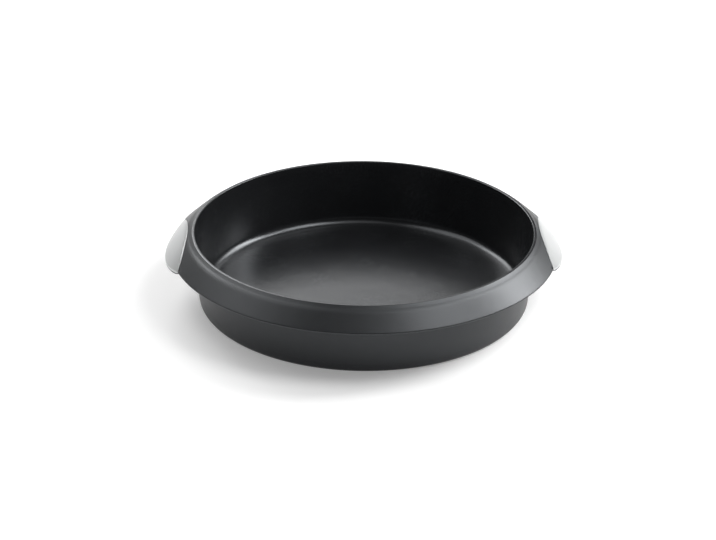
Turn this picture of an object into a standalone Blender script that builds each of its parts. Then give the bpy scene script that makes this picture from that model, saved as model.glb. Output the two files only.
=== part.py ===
"""Round silicone baking mould with a stiffening hoop and two pale grips.

Units are metres and +Z is up. The origin is the middle of the flat underside.
The grips lie on the X axis, one at each side of the rim.

The moulding is one lofted turn: floor, drafted wall, rounded lip and a skirt that slopes
outwards and down. At each side the skirt swells into an ear with a shallow pocket, and a
pale grip lies in it, held by two headed posts and by a hook round the steel hoop.
"""
import math

import bmesh
import bpy
from mathutils import Matrix, Vector

# Silicone moulding: bowl
mould_height = 0.0566
rim_inner_radius = 0.1295
wall_draft = math.radians(4.95)
wall_thickness = 0.0026
floor_thickness = 0.0028
floor_fillet = 0.0068
base_corner = 0.0040
lip_width = 0.0036
lip_round = 0.0012
lip_round_end = math.radians(25.0)

# Silicone moulding: skirt round the rim
shoulder_step = 0.0012
shoulder_drop = 0.0005
skirt_width = 0.0151
skirt_edge_drop = 0.0135
skirt_bend = 1.15
skirt_thickness = 0.0018
skirt_edge_lean = 0.0004
edge_chamfer = 0.0005

# Ears of the skirt that carry the grips
ear_half_angle = math.radians(18.6)
ear_swell = 0.0045
ear_dip = 0.0065
ear_thickness = 0.0036
border_standoff = 0.0006
pocket_depth = 0.0018
pocket_run_in = math.radians(0.4)

# Steel hoop under the rim
wire_radius = 0.0020
hoop_drop = 0.0092
hoop_wall_cover = 0.0011
channel_mouth = 0.0030
channel_lip = 0.0006

# Grips
grip_rise = 0.0005
grip_edge_round = 0.0009
grip_end_trim = math.radians(0.5)
post_angle = math.radians(9.0)
post_radius = 0.0023
post_head_radius = 0.0040
post_head_height = 0.0014
hook_width = 0.0140
hook_thickness = 0.0016
hook_wrap = math.radians(150.0)

clearance = 0.0003

# Facets
turn_sections = 96
least_gap_sections = 8
ear_sections = 12
fillet_steps = 6
lip_inner_steps = 3
lip_outer_steps = 4
face_steps = 5
seat_steps = 2
under_steps = 4
channel_steps = 9
corner_steps = 4
plate_round_steps = 3
plate_face_steps = 3
wire_sides = 8
post_sides = 16
hook_sections = 4
hook_arc_steps = 7
smooth_angle = math.radians(35.0)
tiny = 1e-6

# Worked out from the sizes above
quarter_turn = math.pi / 2
sides = {"right": 0.0, "left": math.pi}
lean = math.tan(wall_draft)
base_radius = rim_inner_radius + wall_thickness - lean * (mould_height - lip_round)
lip_inner_centre = (rim_inner_radius + lip_round, mould_height - lip_round)
lip_outer_centre = (rim_inner_radius + lip_width - lip_round, mould_height - lip_round)
shoulder_radius = rim_inner_radius + lip_width + shoulder_step
shoulder_height = mould_height - shoulder_drop
skirt_edge_radius = rim_inner_radius + lip_width + skirt_width
skirt_edge_height = mould_height - skirt_edge_drop
ear_reach = skirt_edge_radius + ear_swell
ear_edge_height = skirt_edge_height - ear_dip
border_reach = shoulder_radius + border_standoff
tip_x = skirt_edge_radius * math.cos(ear_half_angle)
tip_y = skirt_edge_radius * math.sin(ear_half_angle)
channel_radius = wire_radius + clearance
hoop_height = mould_height - hoop_drop
hoop_radius = base_radius + lean * hoop_height + hoop_wall_cover + channel_radius
channel_rise = math.sqrt(channel_radius**2 - (channel_mouth / 2)**2)
channel_base = hoop_height - channel_rise - channel_lip
rib_radius = hoop_radius + channel_radius + hoop_wall_cover
grip_seat = (pocket_depth - clearance) / 2


def clear_scene():
    for item in list(bpy.data.objects):
        bpy.data.objects.remove(item, do_unlink=True)


def make_material(name, colour, roughness, metallic=0.0):
    material = bpy.data.materials.new(name)
    material.use_nodes = True
    shader = material.node_tree.nodes["Principled BSDF"]
    shader.inputs["Base Color"].default_value = (*colour, 1.0)
    shader.inputs["Roughness"].default_value = roughness
    shader.inputs["Metallic"].default_value = metallic
    material.diffuse_color = (*colour, 1.0)
    return material


def link_mesh(name, bm):
    """Turn a bmesh into an object with its place in its mesh and its faces outwards."""
    bmesh.ops.recalc_face_normals(bm, faces=bm.faces)
    mesh = bpy.data.meshes.new(name)
    bm.to_mesh(mesh)
    bm.free()
    item = bpy.data.objects.new(name, mesh)
    bpy.context.scene.collection.objects.link(item)
    return item


def make_object(name, bm, material):
    """A finished piece, smooth where its facets meet at less than the smooth angle."""
    item = link_mesh(name, bm)
    item.data.materials.append(material)
    item.data.shade_smooth()
    item.data.set_sharp_from_angle(angle=smooth_angle)
    return item


def make_tool(name, bm):
    """A solid that only shapes another: drawn as wire and left out of the model."""
    item = link_mesh(name, bm)
    item.hide_render = True
    item.display_type = "WIRE"
    return item


def add_boolean(item, tool, operation):
    modifier = item.modifiers.new(operation.lower() + "_" + tool.name, "BOOLEAN")
    modifier.operation = operation
    modifier.solver = "EXACT"
    modifier.object = tool


def arc(centre, radius, start, end, steps):
    """Points on an arc in the radius and height plane, both ends included."""
    points = []
    for i in range(steps + 1):
        angle = start + (end - start) * i / steps
        points.append((centre[0] + radius * math.cos(angle), centre[1] + radius * math.sin(angle)))
    return points


def evenly(start, end, steps):
    """Values from start to end, both included, in even steps."""
    return [start + (end - start) * i / steps for i in range(steps + 1)]


def wall_outside(height):
    """Radius of the bowl's outer face at a height."""
    return base_radius + lean * height


def skirt_height(radius):
    """Height of the skirt's outer face, which leaves the shoulder level and bends down."""
    share = max(0.0, (radius - shoulder_radius) / (skirt_edge_radius - shoulder_radius))
    return shoulder_height + (skirt_edge_height - shoulder_height) * share**skirt_bend


def from_ear_middle(angle):
    """Signed angle from the middle of the nearer ear."""
    return math.remainder(angle, math.pi)


def in_ear(angle):
    return abs(from_ear_middle(angle)) < ear_half_angle - tiny


def edge_radius(angle):
    """Outer edge of the skirt: a circle that swells into an arc at each ear."""
    if not in_ear(angle):
        return skirt_edge_radius
    turned = from_ear_middle(angle)
    swell = ear_reach - tip_x
    arc_radius = (tip_y**2 + swell**2) / (2 * swell)
    middle = ear_reach - arc_radius
    return middle * math.cos(turned) + math.sqrt(arc_radius**2 - (middle * math.sin(turned))**2)


def border_radius(angle):
    """Inner border of the grip: an arc that dips in towards the rim."""
    if not in_ear(angle):
        return skirt_edge_radius
    turned = from_ear_middle(angle)
    dip = tip_x - border_reach
    arc_radius = (tip_y**2 + dip**2) / (2 * dip)
    middle = border_reach + arc_radius
    return middle * math.cos(turned) - math.sqrt(arc_radius**2 - (middle * math.sin(turned))**2)


def edge_height(angle):
    """Height of the upper edge, which dips towards the middle of an ear."""
    share = (edge_radius(angle) - skirt_edge_radius) / ear_swell
    return skirt_edge_height - ear_dip * max(0.0, share)


def ear_slope(angle):
    """Rise of the ear's face for each unit outwards, from the grip's border to the edge."""
    border = border_radius(angle)
    width = max(edge_radius(angle) - border, tiny)
    return (edge_height(angle) - skirt_height(border)) / width


def ear_height(angle, radius):
    """Height of the straight face between the grip's inner border and the ear's edge."""
    border = border_radius(angle)
    return skirt_height(border) + ear_slope(angle) * (radius - border)


def face_height(angle, radius):
    """Height of the skirt's upper face at any angle, ears included."""
    if in_ear(angle) and radius > border_radius(angle):
        return ear_height(angle, radius)
    return skirt_height(radius)


def pocket_share(angle):
    """How far the pocket has reached its full depth: 0 outside an ear, 1 in its middle."""
    inside = ear_half_angle - abs(from_ear_middle(angle))
    return min(1.0, max(0.0, inside / pocket_run_in)) if in_ear(angle) else 0.0


def bowl_inside():
    """Floor fillet and the rounded lip, from the flat floor to the ledge behind the lip."""
    fillet_centre = (
        wall_outside(floor_thickness + floor_fillet) - wall_thickness
        - floor_fillet / math.cos(wall_draft),
        floor_thickness + floor_fillet,
    )
    points = arc(fillet_centre, floor_fillet, -quarter_turn, -wall_draft, fillet_steps)
    points += arc(lip_inner_centre, lip_round, math.pi - wall_draft, quarter_turn, lip_inner_steps)
    points += arc(lip_outer_centre, lip_round, quarter_turn, lip_round_end, lip_outer_steps)
    return points


def skirt_outside(angle):
    """Upper face of the skirt, the pocket's step and floor in an ear, and the outer edge."""
    share = pocket_share(angle)
    depth = pocket_depth * share
    thickness = skirt_thickness + (ear_thickness - skirt_thickness) * share
    edge = edge_radius(angle)
    top = edge_height(angle)
    border = min(border_radius(angle), edge - edge_chamfer)
    points = [(radius, skirt_height(radius)) for radius in evenly(shoulder_radius, border, face_steps)]
    for radius in evenly(border, edge - edge_chamfer, seat_steps):
        points.append((radius, face_height(angle, radius) - depth))
    points.append((edge, top - depth - edge_chamfer))
    points.append((edge - skirt_edge_lean, top - thickness + edge_chamfer))
    inner_edge = edge - skirt_edge_lean - edge_chamfer
    points.append((inner_edge, top - thickness))
    for radius in evenly(inner_edge, rib_radius, under_steps)[1:]:
        points.append((radius, face_height(angle, radius) - thickness))
    return points


def hoop_channel():
    """Rib under the skirt with the round channel that the hoop snaps into."""
    half_mouth = channel_mouth / 2
    mouth_angle = math.asin(half_mouth / channel_radius)
    start = mouth_angle - quarter_turn
    end = start + 2 * (math.pi - mouth_angle)
    points = [(rib_radius, channel_base), (hoop_radius + half_mouth, channel_base)]
    points += arc((hoop_radius, hoop_height), channel_radius, start, end, channel_steps)
    points.append((hoop_radius - half_mouth, channel_base))
    points.append((wall_outside(channel_base), channel_base))
    return points


def base_round():
    """Rounded corner between the outer wall and the flat underside."""
    centre = (wall_outside(base_corner) - base_corner / math.cos(wall_draft), base_corner)
    return arc(centre, base_corner, -wall_draft, -quarter_turn, corner_steps)


def mould_section(angle):
    """Outline of the moulding from the floor over the lip and skirt to the underside."""
    return bowl_inside() + skirt_outside(angle) + hoop_channel() + base_round()


def section_angles():
    """Angles of the sections: even turns, with the ends and pocket run-ins of both ears."""
    gap = math.pi - 2 * ear_half_angle
    gap_steps = max(least_gap_sections, round(turn_sections * gap / (2 * math.pi)))
    pocket_half = ear_half_angle - pocket_run_in
    angles = []
    for side in sides.values():
        angles.append(side - ear_half_angle)
        angles += evenly(side - pocket_half, side + pocket_half, ear_sections)
        angles += evenly(side + ear_half_angle, side + ear_half_angle + gap, gap_steps)[:-1]
    return angles


def place(radius, height, angle):
    return Vector((radius * math.cos(angle), radius * math.sin(angle), height))


def loft_round(sections, angles):
    """Join open sections all the way round and close the two middles with flat faces."""
    bm = bmesh.new()
    rings = []
    for points, angle in zip(sections, angles):
        rings.append([bm.verts.new(place(radius, height, angle)) for radius, height in points])
    for i, ring in enumerate(rings):
        after = rings[(i + 1) % len(rings)]
        for k in range(len(ring) - 1):
            bm.faces.new((ring[k], after[k], after[k + 1], ring[k + 1]))
    bm.faces.new([ring[0] for ring in rings])
    bm.faces.new([ring[-1] for ring in rings])
    bmesh.ops.remove_doubles(bm, verts=bm.verts, dist=tiny)
    bmesh.ops.dissolve_degenerate(bm, edges=bm.edges, dist=tiny)
    return bm


def loft_between(sections, angles):
    """Join closed sections along an arc and cap both ends."""
    bm = bmesh.new()
    rings = []
    for points, angle in zip(sections, angles):
        rings.append([bm.verts.new(place(radius, height, angle)) for radius, height in points])
    for ring, after in zip(rings, rings[1:]):
        for k in range(len(ring)):
            m = (k + 1) % len(ring)
            bm.faces.new((ring[k], after[k], after[m], ring[m]))
    bm.faces.new(rings[0])
    bm.faces.new(list(reversed(rings[-1])))
    return bm


def ear_tilt(angle):
    """Angle between the ear's outward normal and the vertical."""
    return math.atan(-ear_slope(angle))


def post_frame(side, angle):
    """Matrix at a post: origin on the plate's underside, Z along the ear's outward normal."""
    middle = (border_radius(angle) + edge_radius(angle)) / 2
    plate_under = ear_height(angle, middle) - pocket_depth + clearance
    turn = Matrix.Rotation(side + angle, 4, "Z") @ Matrix.Rotation(ear_tilt(angle), 4, "Y")
    return Matrix.Translation(place(middle, plate_under, side + angle)) @ turn


def add_cylinder(bm, frame, radius, low, high):
    """A closed cylinder along the frame's Z, between two heights in that frame."""
    offset = Matrix.Translation((0.0, 0.0, (low + high) / 2))
    bmesh.ops.create_cone(
        bm, cap_ends=True, segments=post_sides, radius1=radius, radius2=radius,
        depth=high - low, matrix=frame @ offset)


def hook_outline():
    """Section of the hook that hangs from the plate and clips round the hoop."""
    outer = channel_radius + hook_thickness
    centre = (hoop_radius, hoop_height)
    points = []
    for radius in (hoop_radius + outer, hoop_radius + channel_radius):
        points.append((radius, ear_height(0.0, radius) - pocket_depth + clearance + grip_seat))
    points += arc(centre, channel_radius, 0.0, -hook_wrap, hook_arc_steps)
    points += arc(centre, outer, -hook_wrap, 0.0, hook_arc_steps)
    return points


def window_outline():
    """Section of a hook's window: a slot through the ear and a gap in the rib below it."""
    outer = channel_radius + hook_thickness + clearance
    return [
        (hoop_radius + outer, mould_height),
        (hoop_radius + wire_radius, mould_height),
        (hoop_radius + wire_radius, hoop_height),
        (hoop_radius - outer, hoop_height),
        (hoop_radius - outer, hoop_height - outer),
        (hoop_radius + outer, hoop_height - outer),
    ]


def hook_angles(side, gap):
    half = (hook_width / 2 + gap) / hoop_radius
    return evenly(side - half, side + half, hook_sections)


def build_hook(name):
    angles = hook_angles(sides[name], 0.0)
    return make_tool("hook_" + name, loft_between([hook_outline()] * len(angles), angles))


def build_hook_window(name):
    angles = hook_angles(sides[name], clearance)
    return make_tool("hook_window_" + name, loft_between([window_outline()] * len(angles), angles))


def build_post_holes(name):
    bm = bmesh.new()
    for angle in (-post_angle, post_angle):
        frame = post_frame(sides[name], angle)
        add_cylinder(bm, frame, post_radius + clearance, -2 * ear_thickness, ear_thickness)
    return make_tool("post_holes_" + name, bm)


def build_posts(name):
    """Two posts through the ear, each with a head that holds the silicone from below."""
    backing = ear_thickness - pocket_depth
    items = []
    for angle in (-post_angle, post_angle):
        frame = post_frame(sides[name], angle)
        head_top = -backing * math.cos(ear_tilt(angle)) - 2 * clearance
        parts = {
            "post": (post_radius, head_top - post_head_height / 2, grip_seat / 2),
            "post_head": (post_head_radius, head_top - post_head_height, head_top),
        }
        for part, (radius, low, high) in parts.items():
            bm = bmesh.new()
            add_cylinder(bm, frame, radius, low, high)
            items.append(make_tool(f"{part}_{name}", bm))
    return items


def plate_section(angle):
    """Closed outline of the grip's plate, raised and rounded along its inner border."""
    border = border_radius(angle) + clearance
    edge = edge_radius(angle)
    width = edge - border
    full_rise_width = (ear_reach - border_reach) / 2
    rise = grip_rise * min(1.0, width / full_rise_width)
    rounding = min(grip_edge_round, width / 3)
    chamfer = min(edge_chamfer, width / 3)

    def under(radius):
        return ear_height(angle, radius) - pocket_depth + clearance

    def over(radius):
        share = (radius - border) / width
        return ear_height(angle, radius) + rise * (1 - share)

    round_end = border + rounding
    round_centre = (round_end, over(round_end) - rounding)
    points = [(border, under(border))]
    points += arc(round_centre, rounding, math.pi, quarter_turn, plate_round_steps)
    for radius in evenly(round_end, edge - chamfer, plate_face_steps)[1:]:
        points.append((radius, over(radius)))
    points.append((edge, over(edge) - chamfer))
    points.append((edge, under(edge)))
    points.append(((border + edge) / 2, under((border + edge) / 2)))
    return points


def build_mould_body(material):
    """The silicone moulding, opened where each grip's hook and posts pass through."""
    angles = section_angles()
    sections = [mould_section(angle) for angle in angles]
    item = make_object("mould_body", loft_round(sections, angles), material)
    for name in sides:
        add_boolean(item, build_hook_window(name), "DIFFERENCE")
        add_boolean(item, build_post_holes(name), "DIFFERENCE")
    return item


def build_rim_hoop(material):
    """A round steel wire bent to a ring and butt-welded."""
    bm = bmesh.new()
    bmesh.ops.create_circle(bm, cap_ends=False, segments=wire_sides, radius=wire_radius)
    upright = Matrix.Rotation(quarter_turn, 3, "X")
    bmesh.ops.rotate(bm, verts=bm.verts, cent=(0, 0, 0), matrix=upright)
    bmesh.ops.translate(bm, verts=bm.verts, vec=(hoop_radius, 0.0, hoop_height))
    bmesh.ops.spin(
        bm, geom=bm.verts[:] + bm.edges[:], cent=(0, 0, 0), axis=(0, 0, 1),
        angle=2 * math.pi, steps=turn_sections, use_merge=True)
    bmesh.ops.remove_doubles(bm, verts=bm.verts, dist=tiny)
    return make_object("rim_hoop", bm, material)


def build_grip(name, material):
    """A pale plate in the ear's pocket, one piece with its hook and posts."""
    half = ear_half_angle - grip_end_trim
    angles = evenly(sides[name] - half, sides[name] + half, ear_sections)
    plate = loft_between([plate_section(angle) for angle in angles], angles)
    item = make_object(name + "_grip", plate, material)
    add_boolean(item, build_hook(name), "UNION")
    for post in build_posts(name):
        add_boolean(item, post, "UNION")
    return item


clear_scene()
silicone = make_material("charcoal_silicone", (0.036, 0.037, 0.039), 0.42)
steel = make_material("bright_steel", (0.60, 0.60, 0.60), 0.30, 1.0)
pale = make_material("pale_satin", (0.66, 0.67, 0.66), 0.38)
build_mould_body(silicone)
build_rim_hoop(steel)
for side_name in sides:
    build_grip(side_name, pale)
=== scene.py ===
"""Looks of a round silicone baking mould with a hidden steel hoop and two pale grips.

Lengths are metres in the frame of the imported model: +Z up, origin in the middle of the
underside, grips on the X axis. Each piece is modelled with Blender's operators, takes a
node material and then rides on the model's one body.
"""

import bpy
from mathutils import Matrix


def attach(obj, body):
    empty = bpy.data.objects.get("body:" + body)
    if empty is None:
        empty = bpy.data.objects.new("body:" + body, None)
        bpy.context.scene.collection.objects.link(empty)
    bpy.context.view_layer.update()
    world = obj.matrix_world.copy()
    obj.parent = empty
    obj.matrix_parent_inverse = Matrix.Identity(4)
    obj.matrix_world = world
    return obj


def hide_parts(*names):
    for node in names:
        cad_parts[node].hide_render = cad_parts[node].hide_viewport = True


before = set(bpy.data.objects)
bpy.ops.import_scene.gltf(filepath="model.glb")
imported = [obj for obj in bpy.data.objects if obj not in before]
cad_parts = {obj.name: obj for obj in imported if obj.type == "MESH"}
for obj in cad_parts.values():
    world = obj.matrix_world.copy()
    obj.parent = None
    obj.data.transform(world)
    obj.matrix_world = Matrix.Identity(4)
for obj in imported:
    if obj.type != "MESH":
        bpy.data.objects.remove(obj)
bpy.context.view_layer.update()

import logging
import math
from dataclasses import dataclass, field
from enum import Enum
from typing import Sequence, Union

import bpy
import numpy as np
from mathutils import Matrix, Vector

BODY = "root"
PHOTO_WIDTH = 716
QUARTER_TURN = math.pi / 2
WHITE = (1.0, 1.0, 1.0, 1.0)
NOISE_MIDDLE = 0.5

log = logging.getLogger("mould")

Point = tuple[float, float]
Colour = tuple[float, float, float]
Limits = tuple[float, float]


class Slot(Enum):
    """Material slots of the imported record."""

    SILICONE = "silicone"
    STEEL = "hoop_steel"
    GRIP = "grip"


class Side(Enum):
    """The two ears of the mould, by the direction of their middle."""

    RIGHT = 0.0
    LEFT = math.pi

    @property
    def title(self) -> str:
        """Lower-case word for piece names."""
        return self.name.lower()


def evenly(start: float, end: float, steps: int) -> list[float]:
    """Values from start to end in even steps, both included."""
    return [start + (end - start) * i / steps for i in range(steps + 1)]


def arc(centre: Point, radius: float, start: float, end: float, steps: int) -> list[Point]:
    """Points on an arc in a section plane, both ends included.

    Args:
        centre: radius and height of the arc's middle.
        radius: radius of the arc.
        start: angle of the first point.
        end: angle of the last point.
        steps: number of chords.

    Returns:
        The points, first to last.
    """
    return [(centre[0] + radius * math.cos(angle), centre[1] + radius * math.sin(angle))
            for angle in evenly(start, end, steps)]


def sweep(start: Point, first: Point, second: Point, end: Point, steps: int) -> list[Point]:
    """Points on a cubic curve between two points that leans on two others.

    Args:
        start: first point.
        first: handle of the first point.
        second: handle of the last point.
        end: last point.
        steps: number of chords.

    Returns:
        The points, first to last.
    """
    corners = (start, first, second, end)
    points = []
    for t in evenly(0.0, 1.0, steps):
        shares = ((1 - t)**3, 3 * t * (1 - t)**2, 3 * t**2 * (1 - t), t**3)
        points.append(tuple(
            sum(share * corner[axis] for share, corner in zip(shares, corners))
            for axis in range(2)))
    return points


def direction(azimuth: float, elevation: float) -> Vector:
    """Unit vector by its angle from +Y towards +X and its angle above level."""
    level = math.cos(elevation)
    return Vector((math.sin(azimuth) * level, math.cos(azimuth) * level, math.sin(elevation)))


class Signal:
    """A shader socket that takes part in Python expressions, each operator a Math node."""

    def __init__(self, tree: "NodeTree", socket: bpy.types.NodeSocket) -> None:
        """Wrap an output socket of a tree."""
        self.tree = tree
        self.socket = socket

    def _math(self, operation: str, first: "Value", second: "Value") -> "Signal":
        """One Math node on two values."""
        return self.tree.add("ShaderNodeMath", {"operation": operation}, {0: first, 1: second})

    def __add__(self, other: "Value") -> "Signal":
        """self + other."""
        return self._math("ADD", self, other)

    def __radd__(self, other: "Value") -> "Signal":
        """other + self."""
        return self._math("ADD", other, self)

    def __sub__(self, other: "Value") -> "Signal":
        """self - other."""
        return self._math("SUBTRACT", self, other)

    def __mul__(self, other: "Value") -> "Signal":
        """self * other."""
        return self._math("MULTIPLY", self, other)

    def __rmul__(self, other: "Value") -> "Signal":
        """other * self."""
        return self._math("MULTIPLY", other, self)


Value = Union[Signal, float, tuple]


class NodeTree:
    """Builds the nodes of one material or world."""

    def __init__(self, tree: bpy.types.NodeTree) -> None:
        """Start from an empty tree."""
        self.tree = tree
        tree.nodes.clear()

    def add(self, kind: str, settings: dict | None = None, inputs: dict | None = None,
            output: Union[int, str] = 0) -> Signal:
        """Add a node.

        Args:
            kind: the node's type name.
            settings: attributes of the node, set first.
            inputs: values or signals by socket name or number.
            output: the output socket to return.

        Returns:
            The chosen output.
        """
        node = self.tree.nodes.new(kind)
        for name, value in (settings or {}).items():
            setattr(node, name, value)
        for name, value in (inputs or {}).items():
            if isinstance(value, Signal):
                self.tree.links.new(value.socket, node.inputs[name])
            else:
                node.inputs[name].default_value = value
        if not node.outputs:
            return Signal(self, node.inputs[0])
        return Signal(self, node.outputs[output])

    def place(self) -> Signal:
        """Coordinates of the piece itself."""
        return self.add("ShaderNodeTexCoord", output="Object")

    def noise(self, where: Signal, scale: float, detail: float) -> Signal:
        """Cloudy values round one half."""
        return self.add("ShaderNodeTexNoise", inputs={
            "Vector": where, "Scale": scale, "Detail": detail})

    def spread(self, value: Value, low: float, high: float,
               to_low: float = 0.0, to_high: float = 1.0) -> Signal:
        """Map a range of a value onto another, clamped.

        Args:
            value: what is mapped.
            low: start of its range.
            high: end of its range.
            to_low: result at the start and below.
            to_high: result at the end and above.

        Returns:
            The mapped value.
        """
        return self.add("ShaderNodeMapRange", {"clamp": True}, {
            "Value": value, "From Min": low, "From Max": high,
            "To Min": to_low, "To Max": to_high})

    def blend(self, share: Value, first: Colour, second: Colour) -> Signal:
        """Mix of two plain colours by a share."""
        return self.add("ShaderNodeMix", {"data_type": "RGBA"}, {
            "Factor": share, "A": (*first, 1.0), "B": (*second, 1.0)}, output="Result")

    def bump(self, height: Signal) -> Signal:
        """Normal of a surface with a small relief, given in metres."""
        return self.add("ShaderNodeBump", inputs={
            "Height": height, "Distance": 1.0, "Strength": 1.0}, output="Normal")

    def surface(self, inputs: dict) -> None:
        """Finish the tree with one principled surface that has the given inputs."""
        shader = self.add("ShaderNodeBsdfPrincipled", inputs=inputs)
        self.add("ShaderNodeOutputMaterial", inputs={"Surface": shader})


def new_material(name: str) -> tuple[bpy.types.Material, NodeTree]:
    """Add a material.

    Args:
        name: the material's name.

    Returns:
        The material and the builder of its nodes.
    """
    material = bpy.data.materials.new(name)
    material.use_nodes = True
    return material, NodeTree(material.node_tree)


@dataclass(frozen=True)
class MouldSizes:
    """Sizes that the moulding, the grips and the hoop share."""

    height: float = 0.0566
    rim_radius: float = 0.1295
    draft: float = math.radians(4.95)
    wall: float = 0.0026
    floor: float = 0.0028
    floor_fillet: float = 0.0078
    base_corner: float = 0.0040
    lip_width: float = 0.0036
    rim_depth: float = 0.0012
    lip_round: float = 0.0008
    bead_flat: float = 0.0012
    bead_round: float = 0.0007
    bead_end: float = math.radians(52.0)
    valley_lean: float = 0.0009
    shoulder_step: float = 0.0015
    shoulder_drop: float = 0.0021
    shoulder_fall: float = math.radians(30.0)
    shoulder_round: float = 0.0180
    skirt_width: float = 0.0151
    skirt_edge_drop: float = 0.0137
    skirt_thickness: float = 0.0018
    edge_round: float = 0.0009
    ear_edge_round: float = 0.0006
    ear_half_angle: float = math.radians(18.6)
    ear_swell: float = 0.0045
    ear_dip: float = 0.0065
    ear_thickness: float = 0.0036
    border_standoff: float = 0.0003
    pocket_depth: float = 0.0018
    wire_radius: float = 0.0020
    hoop_drop: float = 0.0092
    hoop_cover: float = 0.0011
    channel_mouth: float = 0.0030
    channel_lip: float = 0.0006
    clearance: float = 0.0003

    @property
    def lean(self) -> float:
        """Outward run of the wall for each unit of height."""
        return math.tan(self.draft)

    @property
    def base_radius(self) -> float:
        """Outer radius of the wall carried down to the underside."""
        return self.rim_radius + self.wall - self.lean * (self.height - self.rim_depth)

    @property
    def shoulder(self) -> Point:
        """Start of the skirt's face, on the ledge behind the lip."""
        radius = self.rim_radius + self.lip_width + self.shoulder_step
        return radius, self.height - self.shoulder_drop

    @property
    def skirt_edge(self) -> Point:
        """Upper corner of the skirt's outer edge."""
        radius = self.rim_radius + self.lip_width + self.skirt_width
        return radius, self.height - self.skirt_edge_drop

    @property
    def ear_reach(self) -> float:
        """Radius of an ear's edge at its middle."""
        return self.skirt_edge[0] + self.ear_swell

    @property
    def border_reach(self) -> float:
        """Radius of the grip's inner border at its middle."""
        return self.shoulder[0] + self.border_standoff

    @property
    def tip(self) -> Point:
        """The ear's end, along and across the grips' axis."""
        edge = self.skirt_edge[0]
        return edge * math.cos(self.ear_half_angle), edge * math.sin(self.ear_half_angle)

    @property
    def channel_radius(self) -> float:
        """Inside of the channel that holds the hoop."""
        return self.wire_radius + self.clearance

    @property
    def hoop(self) -> Point:
        """Radius and height of the hoop's centre line."""
        height = self.height - self.hoop_drop
        return self.wall_outside(height) + self.hoop_cover + self.channel_radius, height

    @property
    def rib_radius(self) -> float:
        """Outside of the rib round the channel."""
        return self.hoop[0] + self.channel_radius + self.hoop_cover

    @property
    def channel_base(self) -> float:
        """Height of the rib's underside."""
        rise = math.sqrt(self.channel_radius**2 - (self.channel_mouth / 2)**2)
        return self.hoop[1] - rise - self.channel_lip

    @property
    def skirt_fall(self) -> float:
        """Slope of the skirt's straight part, which leaves the shoulder's round smoothly.

        Returns:
            The angle below level.
        """
        middle = self.shoulder_middle
        run, rise = self.skirt_edge[0] - middle[0], self.skirt_edge[1] - middle[1]
        return (QUARTER_TURN - math.atan2(rise, run)
                - math.acos(self.shoulder_round / math.hypot(run, rise)))

    @property
    def shoulder_middle(self) -> Point:
        """Middle of the shoulder's round in the section plane."""
        start, high = self.shoulder
        return (start - self.shoulder_round * math.sin(self.shoulder_fall),
                high - self.shoulder_round * math.cos(self.shoulder_fall))

    def wall_outside(self, height: float) -> float:
        """Radius of the bowl's outer face at a height."""
        return self.base_radius + self.lean * height

    def skirt_height(self, radius: float) -> float:
        """Height of the skirt's face: round at the shoulder, then straight.

        Args:
            radius: distance from the mould's axis.

        Returns:
            The height at that radius.
        """
        middle = self.shoulder_middle
        out = radius - middle[0]
        if out < self.shoulder_round * math.sin(self.skirt_fall):
            return middle[1] + math.sqrt(self.shoulder_round**2 - out**2)
        end, low = self.skirt_edge
        return low + (end - radius) * math.tan(self.skirt_fall)


@dataclass(frozen=True)
class EarShape:
    """Outline of an ear of the skirt at each angle from the ear's middle."""

    sizes: MouldSizes
    run_in: float = math.radians(1.0)
    least: float = 1e-5

    def inside(self, turned: float) -> bool:
        """Whether an angle from the ear's middle lies on the ear."""
        return abs(turned) < self.sizes.ear_half_angle - self.least

    def edge_radius(self, turned: float) -> float:
        """Outer edge: the skirt's circle, swelling into an arc.

        Args:
            turned: angle from the ear's middle.

        Returns:
            The edge's radius at that angle.
        """
        sizes = self.sizes
        if not self.inside(turned):
            return sizes.skirt_edge[0]
        along, across = sizes.tip
        swell = sizes.ear_reach - along
        radius = (across**2 + swell**2) / (2 * swell)
        middle = sizes.ear_reach - radius
        return middle * math.cos(turned) + math.sqrt(radius**2 - (middle * math.sin(turned))**2)

    def border_radius(self, turned: float) -> float:
        """Inner border of the grip: an arc that dips in towards the rim.

        Args:
            turned: angle from the ear's middle.

        Returns:
            The border's radius at that angle.
        """
        sizes = self.sizes
        if not self.inside(turned):
            return sizes.skirt_edge[0]
        along, across = sizes.tip
        dip = along - sizes.border_reach
        radius = (across**2 + dip**2) / (2 * dip)
        middle = sizes.border_reach + radius
        return middle * math.cos(turned) - math.sqrt(radius**2 - (middle * math.sin(turned))**2)

    def edge_height(self, turned: float) -> float:
        """Upper corner of the edge, lowest in the ear's middle.

        Args:
            turned: angle from the ear's middle.

        Returns:
            The corner's height at that angle.
        """
        sizes = self.sizes
        share = (self.edge_radius(turned) - sizes.skirt_edge[0]) / sizes.ear_swell
        return sizes.skirt_edge[1] - sizes.ear_dip * max(0.0, share)

    def slope(self, turned: float) -> float:
        """Slope of the ear's face, which falls from the grip's border to the edge.

        Args:
            turned: angle from the ear's middle.

        Returns:
            The rise for each unit outwards, below nought.
        """
        border = self.border_radius(turned)
        width = max(self.edge_radius(turned) - border, self.least)
        return (self.edge_height(turned) - self.sizes.skirt_height(border)) / width

    def height(self, turned: float, radius: float) -> float:
        """Height of the skirt's upper face, straight beyond the grip's border.

        Args:
            turned: angle from the ear's middle.
            radius: distance from the mould's axis.

        Returns:
            The face's height there.
        """
        border = self.border_radius(turned)
        if radius <= border or not self.inside(turned):
            return self.sizes.skirt_height(radius)
        return self.sizes.skirt_height(border) + self.slope(turned) * (radius - border)

    def pocket(self, turned: float) -> float:
        """Share of the pocket's full depth, running in at both tips."""
        inside = self.sizes.ear_half_angle - abs(turned)
        return min(1.0, max(0.0, inside / self.run_in))


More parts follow.
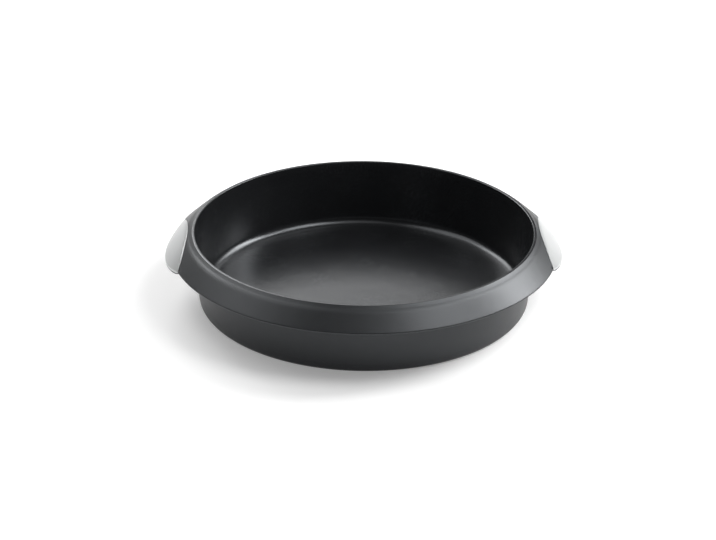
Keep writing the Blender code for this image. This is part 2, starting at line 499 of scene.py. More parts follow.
@dataclass(frozen=True)
class SiliconeFinish:
    """Charcoal satin silicone: nearly black, with faint clouding and a fine dry grain.

    The inside of the bowl is glossier than the rest.
    """

    sizes: MouldSizes
    colour: Colour = (0.0095, 0.0100, 0.0110)
    clouded: Colour = (0.0120, 0.0126, 0.0137)
    roughness: float = 0.40
    inner_roughness: float = 0.26
    gloss_margin: float = 0.0004
    refraction: float = 1.55
    reflected_tint: Colour = (0.92, 0.958, 1.0)
    seam: float = 0.0003
    cloud_scale: float = 28.0
    cloud_detail: float = 4.0
    cloud_limits: Limits = (0.35, 0.65)
    cloud_gloss: float = 0.05
    grain_scale: float = 2600.0
    grain_detail: float = 2.0
    grain_gloss: float = 0.06
    grain_depth: float = 0.00002
    ripple_scale: float = 55.0
    ripple_detail: float = 1.0
    ripple_depth: float = 0.00012

    def make(self) -> bpy.types.Material:
        """Build the material.

        Returns:
            The material.
        """
        material, tree = new_material("charcoal_silicone")
        where = tree.place()
        cloud = tree.noise(where, self.cloud_scale, self.cloud_detail)
        grain = tree.noise(where, self.grain_scale, self.grain_detail)
        ripple = tree.noise(where, self.ripple_scale, self.ripple_detail)
        share = tree.spread(cloud, *self.cloud_limits)
        rough = (self.roughness + (self.inner_roughness - self.roughness) * self.inside(tree, where)
                 + self.cloud_gloss * (cloud - NOISE_MIDDLE)
                 + self.grain_gloss * (grain - NOISE_MIDDLE))
        relief = grain * self.grain_depth + ripple * self.ripple_depth
        tree.surface({
            "Base Color": tree.blend(share, self.colour, self.clouded),
            "Roughness": rough, "Normal": tree.bump(relief),
            "IOR": self.refraction, "Specular Tint": (*self.reflected_tint, 1.0)})
        return material

    def inside(self, tree: NodeTree, where: Signal) -> Signal:
        """Mask of the floor and wall inside the bowl.

        Args:
            tree: the material's nodes.
            where: coordinates of the moulding.

        Returns:
            One inside the bowl and nought on the rest.
        """
        sizes = self.sizes
        flat = tree.add("ShaderNodeVectorMath", {"operation": "MULTIPLY"}, {0: where, 1: (1, 1, 0)})
        radius = tree.add("ShaderNodeVectorMath", {"operation": "LENGTH"}, {0: flat}, "Value")
        height = tree.add("ShaderNodeSeparateXYZ", inputs={0: where}, output="Z")
        wall = sizes.base_radius - self.gloss_margin
        ground = sizes.floor / 2
        within = tree.spread(
            radius - height * sizes.lean, wall - self.seam, wall + self.seam, 1.0, 0.0)
        above = tree.spread(height, ground - self.seam, ground + self.seam)
        return within * above


@dataclass(frozen=True)
class GripFinish:
    """Pale satin moulding with a faint metallic paint and a very fine grain."""

    colour: Colour = (0.475, 0.485, 0.485)
    shaded: Colour = (0.445, 0.455, 0.455)
    roughness: float = 0.33
    metallic: float = 0.45
    refraction: float = 1.5
    cloud_scale: float = 60.0
    cloud_detail: float = 3.0
    cloud_gloss: float = 0.08
    grain_scale: float = 1800.0
    grain_detail: float = 2.0
    grain_gloss: float = 0.05
    grain_depth: float = 0.00002

    def make(self) -> bpy.types.Material:
        """Build the material.

        Returns:
            The material.
        """
        material, tree = new_material("pale_satin")
        where = tree.place()
        cloud = tree.noise(where, self.cloud_scale, self.cloud_detail)
        grain = tree.noise(where, self.grain_scale, self.grain_detail)
        rough = (self.roughness + self.cloud_gloss * (cloud - NOISE_MIDDLE)
                 + self.grain_gloss * (grain - NOISE_MIDDLE))
        tree.surface({
            "Base Color": tree.blend(cloud, self.shaded, self.colour),
            "Roughness": rough, "Normal": tree.bump(grain * self.grain_depth),
            "IOR": self.refraction, "Metallic": self.metallic})
        return material


@dataclass(frozen=True)
class SteelFinish:
    """Bright drawn wire with streaks along its length and a few dull patches."""

    colour: Colour = (0.62, 0.61, 0.60)
    dulled: Colour = (0.44, 0.43, 0.42)
    roughness: float = 0.24
    patch_scale: float = 45.0
    patch_detail: float = 5.0
    patch_limits: Limits = (0.55, 0.75)
    patch_dulling: float = 0.25
    draw_scale: float = 1500.0
    draw_detail: float = 2.0
    draw_gloss: float = 0.1
    draw_depth: float = 0.00001

    def make(self) -> bpy.types.Material:
        """Build the material.

        Returns:
            The material.
        """
        material, tree = new_material("drawn_steel")
        where = tree.place()
        patch = tree.noise(where, self.patch_scale, self.patch_detail)
        draw = tree.noise(where, self.draw_scale, self.draw_detail)
        share = tree.spread(patch, *self.patch_limits)
        rough = (self.roughness + self.patch_dulling * share
                 + self.draw_gloss * (draw - NOISE_MIDDLE))
        tree.surface({
            "Base Color": tree.blend(share, self.colour, self.dulled),
            "Roughness": rough, "Normal": tree.bump(draw * self.draw_depth),
            "Metallic": 1.0})
        return material


class Bench:
    """Shared modelling moves."""

    bar_radius: float = 0.001

    @staticmethod
    def clear_selection() -> None:
        """Leave edit mode with nothing selected or active."""
        if bpy.context.object and bpy.context.object.mode != "OBJECT":
            bpy.ops.object.mode_set(mode="OBJECT")
        bpy.ops.object.select_all(action="DESELECT")

    @staticmethod
    def pick(item: bpy.types.Object) -> None:
        """Select one object alone and make it active.

        Args:
            item: the object.
        """
        Bench.clear_selection()
        item.select_set(True)
        bpy.context.view_layer.objects.active = item

    @staticmethod
    def name(title: str) -> bpy.types.Object:
        """Name the active object and its mesh.

        Args:
            title: the name of both.

        Returns:
            The active object.
        """
        item = bpy.context.object
        item.name = title
        item.data.name = title
        return item

    @staticmethod
    def stack_rings(rings: Sequence[Point], columns: int) -> bpy.types.Object:
        """Turn a section into a closed solid, one extruded ring after another.

        Args:
            rings: radius and height of each ring, first to last.
            columns: points round each ring.

        Returns:
            The active object, closed at both ends by a flat face.
        """
        Bench.clear_selection()
        radius, height = rings[0]
        bpy.ops.mesh.primitive_circle_add(
            vertices=columns, radius=radius, fill_type="NGON", location=(0, 0, 0))
        bpy.ops.object.mode_set(mode="EDIT")
        bpy.ops.transform.translate(value=(0, 0, height))
        for wide, high in rings[1:]:
            bpy.ops.mesh.extrude_region_move(
                TRANSFORM_OT_translate={"value": (0, 0, high - height)})
            bpy.ops.transform.resize(
                value=(wide / radius, wide / radius, 1), center_override=(0, 0, 0))
            radius, height = wide, high
        bpy.ops.object.mode_set(mode="OBJECT")
        return bpy.context.object

    @staticmethod
    def push(item: bpy.types.Object, moves: np.ndarray) -> None:
        """Move points by painted weights and displace modifiers, one axis and way at a time.

        Args:
            item: the mesh object.
            moves: one offset for each point, in three columns.
        """
        Bench.pick(item)
        for column, axis in enumerate("XYZ"):
            for sign in (1, -1):
                reach = sign * moves[:, column]
                furthest = float(reach.max())
                if furthest <= 0:
                    continue
                group = item.vertex_groups.new(name="push")
                for index in np.nonzero(reach > 0)[0]:
                    group.add([int(index)], float(reach[index] / furthest), "REPLACE")
                bpy.ops.object.modifier_add(type="DISPLACE")
                modifier = item.modifiers[-1]
                modifier.direction = axis
                modifier.mid_level = 0.0
                modifier.strength = sign * furthest
                modifier.vertex_group = group.name
                bpy.ops.object.modifier_apply(modifier=modifier.name)
                item.vertex_groups.clear()

    @staticmethod
    def bend_bar(sections: Sequence[Sequence[Point]], angles: Sequence[float]) -> bpy.types.Object:
        """Extrude a plain bar and push it into a closed solid through sections on an arc.

        Args:
            sections: outlines of radius and height, all with the same number of points.
            angles: direction of each section about the mould's axis.

        Returns:
            The active object.
        """
        count = len(sections[0])
        Bench.clear_selection()
        bpy.ops.mesh.primitive_circle_add(
            vertices=count, radius=Bench.bar_radius, fill_type="NGON", location=(0, 0, 0))
        item = bpy.context.object
        bpy.ops.object.mode_set(mode="EDIT")
        for _ in angles[1:]:
            bpy.ops.mesh.extrude_region_move(
                TRANSFORM_OT_translate={"value": (0, 0, Bench.bar_radius)})
        bpy.ops.object.mode_set(mode="OBJECT")
        places = Bench.points(item)
        goal = np.zeros_like(places)
        for index in range(len(places)):
            angle = angles[index // count]
            radius, height = sections[index // count][index % count]
            goal[index] = (radius * math.cos(angle), radius * math.sin(angle), height)
        Bench.push(item, goal - places)
        return item

    @staticmethod
    def points(item: bpy.types.Object) -> np.ndarray:
        """Places of a mesh's points.

        Args:
            item: the mesh object.

        Returns:
            One row for each point, in three columns.
        """
        flat = np.zeros(len(item.data.vertices) * 3)
        item.data.vertices.foreach_get("co", flat)
        return flat.reshape(-1, 3)

    @staticmethod
    def combine(item: bpy.types.Object, tool: bpy.types.Object, operation: str) -> None:
        """Cut a tool out of a piece or join it on, and throw the tool away.

        Args:
            item: the piece.
            tool: the object that is cut out or joined on.
            operation: DIFFERENCE or UNION.
        """
        Bench.pick(item)
        bpy.ops.object.modifier_add(type="BOOLEAN")
        modifier = item.modifiers[-1]
        modifier.operation = operation
        modifier.solver = "EXACT"
        modifier.object = tool
        bpy.ops.object.modifier_apply(modifier=modifier.name)
        bpy.data.objects.remove(tool, do_unlink=True)

    @staticmethod
    def finish(item: bpy.types.Object, sharp: float) -> None:
        """Point faces outwards and shade the piece smooth.

        Args:
            item: the piece.
            sharp: angle between two faces from which their edge stays sharp.
        """
        Bench.pick(item)
        bpy.ops.object.mode_set(mode="EDIT")
        bpy.ops.mesh.select_all(action="SELECT")
        bpy.ops.mesh.normals_make_consistent(inside=False)
        bpy.ops.object.mode_set(mode="OBJECT")
        bpy.ops.object.shade_smooth_by_angle(angle=sharp)
        Bench.clear_selection()


@dataclass(frozen=True)
class GripFixing:
    """What holds a grip: a hook round the hoop and two headed posts, and their openings."""

    sizes: MouldSizes
    post_turns: tuple[float, float] = (math.radians(-9.0), math.radians(9.0))
    post_radius: float = 0.0023
    head_radius: float = 0.0040
    head_height: float = 0.0014
    head_round: float = 0.0005
    hook_width: float = 0.0140
    hook_thickness: float = 0.0016
    hook_wrap: float = math.radians(150.0)
    hook_columns: int = 12
    hook_steps: int = 14
    post_sides: int = 32
    round_steps: int = 4
    pip: float = 0.0004

    @property
    def ear(self) -> EarShape:
        """Outline of the ear that the grip lies in."""
        return EarShape(self.sizes)

    @property
    def seat(self) -> float:
        """How far the hook and posts run up into the plate."""
        return (self.sizes.pocket_depth - self.sizes.clearance) / 2

    def plate_under(self, turned: float, radius: float) -> float:
        """Height of the plate's underside."""
        sizes = self.sizes
        return self.ear.height(turned, radius) - sizes.pocket_depth + sizes.clearance

    def angles(self, side: Side, gap: float) -> list[float]:
        """Directions of the sections across a hook or its window."""
        half = (self.hook_width / 2 + gap) / self.sizes.hoop[0]
        return evenly(side.value - half, side.value + half, self.hook_columns)

    def build_hook(self, side: Side) -> bpy.types.Object:
        """A strip that hangs from the plate and clips round the hoop, with a round tip.

        Args:
            side: the ear that the grip lies in.

        Returns:
            The hook, apart from its plate.
        """
        sizes = self.sizes
        inner = sizes.channel_radius
        outer = inner + self.hook_thickness
        points = [(radius, self.plate_under(0.0, radius) + self.seat)
                  for radius in (sizes.hoop[0] + outer, sizes.hoop[0] + inner)]
        points += arc(sizes.hoop, inner, 0.0, -self.hook_wrap, self.hook_steps)
        middle = inner + self.hook_thickness / 2
        tip = (sizes.hoop[0] + middle * math.cos(-self.hook_wrap),
               sizes.hoop[1] + middle * math.sin(-self.hook_wrap))
        points += arc(tip, self.hook_thickness / 2, math.pi - self.hook_wrap, -self.hook_wrap,
                      2 * self.round_steps)[1:-1]
        points += arc(sizes.hoop, outer, -self.hook_wrap, 0.0, self.hook_steps)
        angles = self.angles(side, 0.0)
        return Bench.bend_bar([points] * len(angles), angles)

    def build_window(self, side: Side) -> bpy.types.Object:
        """Tool for a hook's slot through the ear and the gap in the rib below it.

        Args:
            side: the ear that is cut.

        Returns:
            The tool.
        """
        sizes = self.sizes
        outer = sizes.channel_radius + self.hook_thickness + sizes.clearance
        radius, height = sizes.hoop
        points = [
            (radius + outer, sizes.height),
            (radius + sizes.wire_radius, sizes.height),
            (radius + sizes.wire_radius, height),
            (radius - outer, height),
            (radius - outer, height - outer),
            (radius + outer, height - outer),
        ]
        angles = self.angles(side, sizes.clearance)
        return Bench.bend_bar([points] * len(angles), angles)

    def stand(self, item: bpy.types.Object, side: Side, turned: float) -> bpy.types.Object:
        """Turn a part made along Z onto the ear's outward normal, at a post's place.

        Args:
            item: the part, with the plate's underside at nought.
            side: the ear that it goes to.
            turned: angle from the ear's middle.

        Returns:
            The same part, in its place.
        """
        ear = self.ear
        middle = (ear.border_radius(turned) + ear.edge_radius(turned)) / 2
        angle = side.value + turned
        place = (middle * math.cos(angle), middle * math.sin(angle),
                 self.plate_under(turned, middle))
        tilt = math.atan(-ear.slope(turned))
        item.matrix_world = (Matrix.Translation(place) @ Matrix.Rotation(angle, 4, "Z")
                             @ Matrix.Rotation(tilt, 4, "Y"))
        Bench.pick(item)
        bpy.ops.object.transform_apply(location=True, rotation=True, scale=True)
        return item

    def build_post(self, side: Side, turned: float) -> bpy.types.Object:
        """A post with a rounded head that holds the silicone from below.

        Args:
            side: the ear that the grip lies in.
            turned: angle from the ear's middle.

        Returns:
            The post, apart from its plate.
        """
        sizes = self.sizes
        backing = (sizes.ear_thickness - sizes.pocket_depth) * math.cos(
            math.atan(-self.ear.slope(turned)))
        top = -backing - 2 * sizes.clearance
        low = top - self.head_height
        small = self.head_round
        rings = [(self.pip, low), (self.head_radius / 2, low)]
        rings += arc((self.head_radius - small, low + small), small, -QUARTER_TURN, 0.0,
                     self.round_steps)
        rings += arc((self.head_radius - small, top - small), small, 0.0, QUARTER_TURN,
                     self.round_steps)
        rings += [(self.post_radius, top + self.pip), (self.post_radius, self.seat / 2)]
        return self.stand(Bench.stack_rings(rings, self.post_sides), side, turned)

    def build_post_hole(self, side: Side, turned: float) -> bpy.types.Object:
        """Tool for a post's hole through the ear.

        Args:
            side: the ear that is cut.
            turned: angle from the ear's middle.

        Returns:
            The tool.
        """
        reach = 2 * self.sizes.ear_thickness
        radius = self.post_radius + self.sizes.clearance
        rings = [(radius, -reach), (radius, reach / 2)]
        return self.stand(Bench.stack_rings(rings, self.post_sides), side, turned)


@dataclass
class MouldShell:
    """The silicone moulding: bowl, lip, skirt with two ears, and the hoop's channel."""

    sizes: MouldSizes
    fixing: GripFixing
    columns: int = 360
    floor_rings: Sequence[float] = (0.002, 0.02, 0.045, 0.07, 0.09, 0.105)
    wall_steps: int = 8
    fillet_steps: int = 12
    lip_steps: int = 7
    valley_steps: int = 8
    face_steps: int = 16
    seat_steps: int = 6
    round_steps: int = 4
    under_steps: int = 6
    channel_steps: int = 18
    corner_steps: int = 7
    crowding: float = 1.6
    seam: float = 0.00005
    sharp: float = math.radians(40.0)
    ear: EarShape = field(init=False)
    item: bpy.types.Object = field(init=False)

    def __post_init__(self) -> None:
        """Set up the outline of the ears."""
        self.ear = EarShape(self.sizes)

    def base_part(self) -> list[Point]:
        """Underside, base corner, outer wall and the rib round the channel.

        Returns:
            The section's points, from the middle outwards and up.
        """
        sizes = self.sizes
        centre = (sizes.wall_outside(sizes.base_corner) - sizes.base_corner / math.cos(sizes.draft),
                  sizes.base_corner)
        points = [(radius, 0.0) for radius in self.floor_rings]
        points += arc(centre, sizes.base_corner, -QUARTER_TURN, -sizes.draft, self.corner_steps)
        low = points[-1][1]
        for height in evenly(low, sizes.channel_base, self.wall_steps)[1:]:
            points.append((sizes.wall_outside(height), height))
        half_mouth = sizes.channel_mouth / 2
        mouth_angle = math.asin(half_mouth / sizes.channel_radius)
        points.append((sizes.hoop[0] - half_mouth, sizes.channel_base))
        start = -QUARTER_TURN - mouth_angle
        end = start - 2 * (math.pi - mouth_angle)
        points += arc(sizes.hoop, sizes.channel_radius, start, end, self.channel_steps)
        points.append((sizes.hoop[0] + half_mouth, sizes.channel_base))
        points.append((sizes.rib_radius, sizes.channel_base))
        return points

    def skirt_part(self, turned: float) -> list[Point]:
        """Skirt from the rib out under the edge and back up to the shoulder.

        Args:
            turned: angle from the nearer ear's middle.

        Returns:
            The section's points at that angle.
        """
        sizes = self.sizes
        share = self.ear.pocket(turned)
        depth = sizes.pocket_depth * share
        thickness = sizes.skirt_thickness + (sizes.ear_thickness - sizes.skirt_thickness) * share
        edge = self.ear.edge_radius(turned)
        top = self.ear.edge_height(turned)
        small = sizes.edge_round + (sizes.ear_edge_round - sizes.edge_round) * share
        fall = math.atan(-self.ear.slope(turned)) if self.ear.inside(turned) else self.edge_fall()
        inner = edge - small
        face = top + small * math.tan(fall)
        high = face - depth - small / math.cos(fall)
        low = min(high - self.seam, face - thickness + small / math.cos(fall))
        points = []
        for radius in evenly(sizes.rib_radius, inner - small, self.under_steps):
            points.append((radius, self.ear.height(turned, radius) - thickness))
        points += arc((inner, low), small, -QUARTER_TURN - fall, 0.0, self.round_steps)
        points += arc((inner, high), small, 0.0, QUARTER_TURN - fall, self.round_steps)
        border = min(self.ear.border_radius(turned), inner - small)
        start = points[-1][0]
        for radius in evenly(start, border, self.seat_steps)[1:]:
            points.append((radius, self.ear.height(turned, radius) - depth))
        for climb in evenly(0.0, 1.0, self.face_steps):
            radius = sizes.shoulder[0] + (border - sizes.shoulder[0]) * (1 - climb)**self.crowding
            points.append((radius, sizes.skirt_height(radius)))
        return points

    def edge_fall(self) -> float:
        """Slope of the plain skirt's face at its edge.

        Returns:
            The angle below level.
        """
        sizes = self.sizes
        step = sizes.edge_round
        edge = sizes.skirt_edge[0]
        return math.atan((sizes.skirt_height(edge - step) - sizes.skirt_height(edge)) / step)

    def bowl_part(self) -> list[Point]:
        """Lip, inner wall, fillet and floor.

        Returns:
            The section's points, from the shoulder inwards and down to the middle.
        """
        sizes = self.sizes
        inner = (sizes.rim_radius + sizes.lip_round, sizes.height - sizes.lip_round)
        outer = (inner[0] + sizes.bead_flat, sizes.height - sizes.bead_round)
        bead = arc(outer, sizes.bead_round, sizes.bead_end, QUARTER_TURN, self.lip_steps)
        lean = sizes.valley_lean
        foot = (bead[0][0] + lean * math.sin(sizes.bead_end),
                bead[0][1] - lean * math.cos(sizes.bead_end))
        edge = sizes.shoulder
        back = (edge[0] - lean * math.cos(sizes.shoulder_fall),
                edge[1] + lean * math.sin(sizes.shoulder_fall))
        points = sweep(edge, back, foot, bead[0], self.valley_steps)[1:-1]
        points += bead
        points += arc(inner, sizes.lip_round, QUARTER_TURN, math.pi - sizes.draft, self.lip_steps)
        fillet_height = sizes.floor + sizes.floor_fillet
        centre = (sizes.wall_outside(fillet_height) - sizes.wall
                  - sizes.floor_fillet / math.cos(sizes.draft), fillet_height)
        fillet = arc(centre, sizes.floor_fillet, -sizes.draft, -QUARTER_TURN, self.fillet_steps)
        high, low = points[-1], fillet[0]
        for share in evenly(0.0, 1.0, self.wall_steps)[1:-1]:
            points.append((high[0] + (low[0] - high[0]) * share,
                           high[1] + (low[1] - high[1]) * share))
        points += fillet
        points += [(radius, sizes.floor) for radius in reversed(self.floor_rings)]
        return points

    def section(self, turned: float) -> list[Point]:
        """Whole section at an angle from the nearer ear's middle."""
        return self.base_part() + self.skirt_part(turned) + self.bowl_part()

    def build(self) -> None:
        """Extrude the plain turn ring by ring, push the ears out of it and open them."""
        plain = self.section(QUARTER_TURN)
        Bench.stack_rings(plain, self.columns)
        self.item = Bench.name("mould_shell")
        self.push_ears(plain)
        for side in Side:
            Bench.combine(self.item, self.fixing.build_window(side), "DIFFERENCE")
            for turned in self.fixing.post_turns:
                Bench.combine(self.item, self.fixing.build_post_hole(side, turned), "DIFFERENCE")
        Bench.finish(self.item, self.sharp)

    def push_ears(self, plain: list[Point]) -> None:
        """Swell the skirt into its ears and sink their pockets.

        Args:
            plain: the section that the whole moulding was made from.
        """
        places = Bench.points(self.item)
        moves = np.zeros_like(places)
        rings = np.array(plain)
        sections: dict[int, np.ndarray] = {}
        step = 2 * math.pi / self.columns
        for index, (x, y, _) in enumerate(places):
            angle = math.atan2(y, x)
            turned = math.remainder(angle, math.pi)
            if not self.ear.inside(turned):
                continue
            column = round(turned / step)
            if column not in sections:
                sections[column] = np.array(self.section(column * step))
            ring = index // self.columns
            moved = sections[column][ring]
            moves[index] = (
                (moved[0] - rings[ring][0]) * math.cos(angle),
                (moved[0] - rings[ring][0]) * math.sin(angle),
                moved[1] - rings[ring][1])
        Bench.push(self.item, moves)

    def dress(self, material: bpy.types.Material) -> None:
        """Give the moulding its finish and its place in the model.

        Args:
            material: the silicone.
        """
        self.item.data.materials.clear()
        self.item.data.materials.append(material)
        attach(self.item, BODY)
        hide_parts("mould_body")


@dataclass
class RimHoop:
    """The drawn steel wire hoop in the channel under the rim."""

    sizes: MouldSizes
    wire_sides: int = 16
    turns: int = 240
    weld: float = 1e-6
    sharp: float = math.radians(40.0)
    item: bpy.types.Object = field(init=False)

    def build(self) -> None:
        """Spin the wire's round section about the mould's axis."""
        Bench.clear_selection()
        bpy.ops.mesh.primitive_circle_add(
            vertices=self.wire_sides, radius=self.sizes.wire_radius, fill_type="NOTHING",
            location=(0, 0, 0))
        self.item = Bench.name("hoop_wire")
        bpy.ops.object.mode_set(mode="EDIT")
        bpy.ops.transform.rotate(
            value=QUARTER_TURN, orient_axis="X", center_override=(0, 0, 0))
        radius, height = self.sizes.hoop
        bpy.ops.transform.translate(value=(radius, 0, height))
        bpy.ops.mesh.spin(
            steps=self.turns, angle=2 * math.pi, center=(0, 0, 0), axis=(0, 0, 1))
        bpy.ops.mesh.select_all(action="SELECT")
        bpy.ops.mesh.remove_doubles(threshold=self.weld)
        bpy.ops.object.mode_set(mode="OBJECT")
        Bench.finish(self.item, self.sharp)

    def dress(self, material: bpy.types.Material) -> None:
        """Give the hoop its finish and its place in the model.

        Args:
            material: the steel.
        """
        self.item.data.materials.clear()
        self.item.data.materials.append(material)
        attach(self.item, BODY)
        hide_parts("rim_hoop")


@dataclass
class Grip:
    """A pale lens-shaped plate in an ear, with its hook round the hoop and two posts."""

    sizes: MouldSizes
    side: Side
    fixing: GripFixing
    rise: float = 0.0002
    crown: float = 0.0008
    crown_share: float = 0.17
    border_gap: float = 0.00005
    border_round: float = 0.0006
    edge_round: float = 0.0005
    border_parts: int = 3
    edge_parts: int = 4
    end_trim: float = math.radians(0.15)
    sharp: float = math.radians(50.0)
    columns: int = 60
    round_steps: int = 6
    face_steps: int = 14
    crowding: float = 1.6
    ear: EarShape = field(init=False)
    item: bpy.types.Object = field(init=False)

    def __post_init__(self) -> None:
        """Set up the outline of the ear."""
        self.ear = EarShape(self.sizes)

    def section(self, turned: float) -> list[Point]:
        """Closed outline of the plate, its face crowned near the border.

        Args:
            turned: angle from the ear's middle.

        Returns:
            The section's points at that angle.
        """
        sizes = self.sizes
        ear = self.ear
        border = ear.border_radius(turned) + self.border_gap
        edge = ear.edge_radius(turned)
        width = edge - border
        full = (sizes.ear_reach - sizes.border_reach) / 2
        scale = min(1.0, width / full)
        rounding = min(self.border_round, width / self.border_parts)
        small = min(self.edge_round, width / self.edge_parts)

        def under(radius: float) -> Point:
            """Point of the underside."""
            return radius, self.fixing.plate_under(turned, radius)

        def over(radius: float) -> float:
            """Height of the face.

            Args:
                radius: distance from the mould's axis.

            Returns:
                The height at that radius.
            """
            share = (radius - border) / width
            if share < self.crown_share:
                swell = math.sin(QUARTER_TURN * share / self.crown_share)
            else:
                swell = math.cos(QUARTER_TURN * (share - self.crown_share) / (1 - self.crown_share))
            lift = self.rise * (1 - share) + self.crown * swell
            return ear.height(turned, radius) + scale * lift

        tilt = math.atan(ear.slope(turned))
        start = border + rounding
        points = [under(border)]
        points += arc((start, over(start) - rounding), rounding, math.pi, QUARTER_TURN,
                      self.round_steps)
        for share in evenly(0.0, 1.0, self.face_steps)[1:-1]:
            radius = start + (edge - small - start) * share**self.crowding
            points.append((radius, over(radius)))
        points += arc((edge - small, over(edge - small) - small / math.cos(tilt)), small,
                      QUARTER_TURN + tilt, 0.0, self.round_steps)
        points += [under(radius) for radius in evenly(edge, border, self.face_steps)[:-1]]
        return points

    def build(self) -> None:
        """Push a bar into the lens-shaped plate and join its hook and posts to it."""
        half = self.sizes.ear_half_angle - self.end_trim
        turns = evenly(-half, half, self.columns)
        angles = [self.side.value + turned for turned in turns]
        self.item = Bench.bend_bar([self.section(turned) for turned in turns], angles)
        Bench.name(f"{self.side.title}_grip_plate")
        Bench.combine(self.item, self.fixing.build_hook(self.side), "UNION")
        for turned in self.fixing.post_turns:
            Bench.combine(self.item, self.fixing.build_post(self.side, turned), "UNION")
        Bench.finish(self.item, self.sharp)

    def dress(self, material: bpy.types.Material) -> None:
        """Give the grip its finish and its place in the model.

        Args:
            material: the pale paint.
        """
        self.item.data.materials.clear()
        self.item.data.materials.append(material)
        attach(self.item, BODY)
        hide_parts(f"{self.side.title}_grip")


@dataclass(frozen=True)
class Lamp:
    """A soft rectangular lamp, by the direction in degrees that it shines from."""

    name: str
    azimuth: float
    elevation: float
    width: float
    height: float
    power: float
    distance: float = 1.5

    def build(self) -> None:
        """Place the lamp and aim it at the mould."""
        out = direction(math.radians(self.azimuth), math.radians(self.elevation))
        aim = out.to_track_quat("Z", "Y").to_euler()
        bpy.ops.object.light_add(type="AREA", location=out * self.distance, rotation=aim)
        lamp = bpy.context.object
        lamp.name = self.name
        lamp.data.shape = "RECTANGLE"
        lamp.data.size = self.width
        lamp.data.size_y = self.height
        lamp.data.energy = self.power
        lamp.visible_camera = False


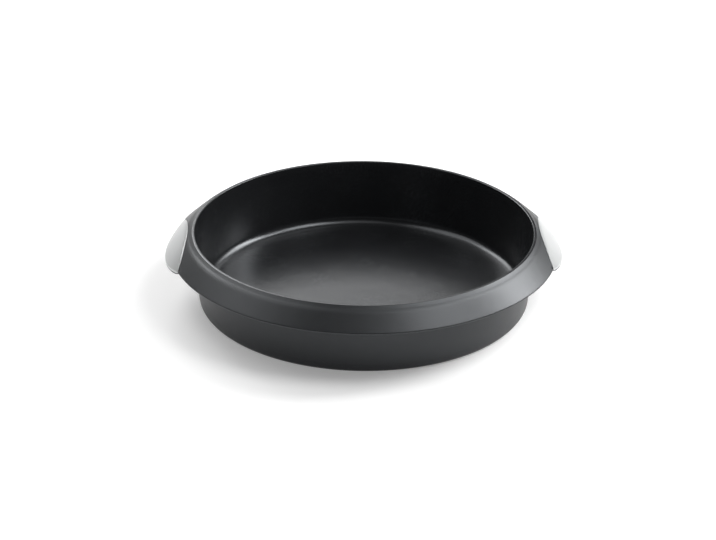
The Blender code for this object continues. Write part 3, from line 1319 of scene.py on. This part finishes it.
@dataclass(frozen=True)
class Studio:
    """White floor, plain soft light and the camera, its angles in radians."""

    floor_size: float = 14.0
    floor_shade: float = 0.82
    floor_glow: float = 0.27
    white_start: float = 0.45
    white_end: float = 1.20
    world_level: float = 0.02
    horizon_level: float = 0.4
    horizon_top: float = 0.14
    horizon_end: float = 0.34
    camera_place: tuple[float, float, float] = (-0.0508, -1.3220, 0.6663)
    camera_yaw: float = 0.0350
    camera_pitch: float = 0.4543
    camera_roll: float = 0.0073
    focal_pixels: float = 1900.0
    clip_start: float = 0.05
    clip_end: float = 60.0
    lamps: tuple[Lamp, ...] = (
        Lamp("key_lamp", 77.0, 38.0, 0.30, 1.15, 10.0),
        Lamp("wide_key_lamp", 68.0, 34.0, 0.80, 0.60, 12.5),
        Lamp("front_right_lamp", 115.0, 59.0, 0.60, 0.60, 8.0),
        Lamp("front_lamp", 160.0, 72.0, 0.80, 0.80, 1.4),
        Lamp("left_lamp", -76.0, 53.0, 1.00, 1.00, 6.6),
        Lamp("back_left_lamp", -30.0, 38.0, 0.90, 0.60, 12.5),
        Lamp("back_lamp", -4.0, 33.0, 0.60, 0.50, 2.0),
    )

    def build(self) -> None:
        """Set up everything round the object."""
        self.build_floor()
        self.build_world()
        for lamp in self.lamps:
            lamp.build()
        self.build_camera()
        bpy.context.scene.view_settings.view_transform = "Standard"

    def build_floor(self) -> None:
        """A plain floor that keeps the mould's shadow and looks white further out."""
        Bench.clear_selection()
        bpy.ops.mesh.primitive_plane_add(size=self.floor_size, location=(0, 0, 0))
        floor = Bench.name("floor")
        material, tree = new_material("white_floor")
        shade = (self.floor_shade, self.floor_shade, self.floor_shade, 1.0)
        matt = tree.add("ShaderNodeBsdfDiffuse", inputs={"Color": shade})
        glow = tree.add("ShaderNodeEmission", inputs={
            "Color": WHITE, "Strength": self.floor_glow})
        lit = tree.add("ShaderNodeAddShader", inputs={0: matt, 1: glow})
        white = tree.add("ShaderNodeEmission", inputs={"Color": WHITE, "Strength": 1.0})
        distance = tree.add(
            "ShaderNodeVectorMath", {"operation": "LENGTH"}, {0: tree.place()}, "Value")
        far = tree.spread(distance, self.white_start, self.white_end)
        shown = tree.add("ShaderNodeMixShader", inputs={0: far, 1: lit, 2: white})
        surface = tree.add("ShaderNodeMixShader", inputs={0: self.seen(tree), 1: matt, 2: shown})
        tree.add("ShaderNodeOutputMaterial", inputs={"Surface": surface})
        floor.data.materials.append(material)

    @staticmethod
    def seen(tree: NodeTree) -> Signal:
        """Mask of what the camera sees, directly, mirrored or through glass.

        Args:
            tree: the nodes of the surface that is seen.

        Returns:
            One on rays that come from the camera and nought on the lamps' own light.
        """
        rays = [tree.add("ShaderNodeLightPath", output=kind)
                for kind in ("Is Camera Ray", "Is Glossy Ray", "Is Transmission Ray")]
        return tree.spread(rays[0] + rays[1] + rays[2], 0.0, 1.0)

    def build_world(self) -> None:
        """Plain surroundings, brighter near the horizon than above."""
        world = bpy.data.worlds.new("studio")
        bpy.context.scene.world = world
        world.use_nodes = True
        tree = NodeTree(world.node_tree)
        rise = tree.add("ShaderNodeSeparateXYZ", inputs={
            0: tree.add("ShaderNodeTexCoord", output="Generated")}, output="Z")
        level = tree.spread(
            rise, self.horizon_top, self.horizon_end, self.horizon_level, self.world_level)
        plain = tree.add("ShaderNodeBackground", inputs={
            "Color": WHITE, "Strength": level})
        tree.add("ShaderNodeOutputWorld", inputs={"Surface": plain})

    def build_camera(self) -> None:
        """The photograph's viewpoint and lens."""
        yaw, roll = self.camera_yaw, self.camera_roll
        ahead = direction(yaw, -self.camera_pitch)
        level = Vector((math.cos(yaw), -math.sin(yaw), 0.0))
        above = level.cross(ahead)
        right = level * math.cos(roll) + above * math.sin(roll)
        up = above * math.cos(roll) - level * math.sin(roll)
        turn = Matrix((right, up, -ahead)).transposed()
        bpy.ops.object.camera_add(location=self.camera_place, rotation=turn.to_euler())
        camera = bpy.context.object
        camera.name = "camera"
        camera.data.lens = camera.data.sensor_width * self.focal_pixels / PHOTO_WIDTH
        camera.data.clip_start = self.clip_start
        camera.data.clip_end = self.clip_end
        bpy.context.scene.camera = camera


def main() -> None:
    """Build and dress each piece, then set up the studio."""
    logging.basicConfig(level=logging.INFO, format="%(message)s")
    sizes = MouldSizes()
    silicone = SiliconeFinish(sizes).make()
    steel = SteelFinish().make()
    pale = GripFinish().make()
    fixing = GripFixing(sizes)
    shell = MouldShell(sizes, fixing)
    shell.build()
    shell.dress(silicone)
    log.info("mould shell: %d faces", len(shell.item.data.polygons))
    hoop = RimHoop(sizes)
    hoop.build()
    hoop.dress(steel)
    log.info("hoop: %d faces", len(hoop.item.data.polygons))
    for side in Side:
        grip = Grip(sizes, side, fixing)
        grip.build()
        grip.dress(pale)
        log.info("%s grip: %d faces", side.title, len(grip.item.data.polygons))
    Studio().build()


if __name__ == "__main__":
    main()
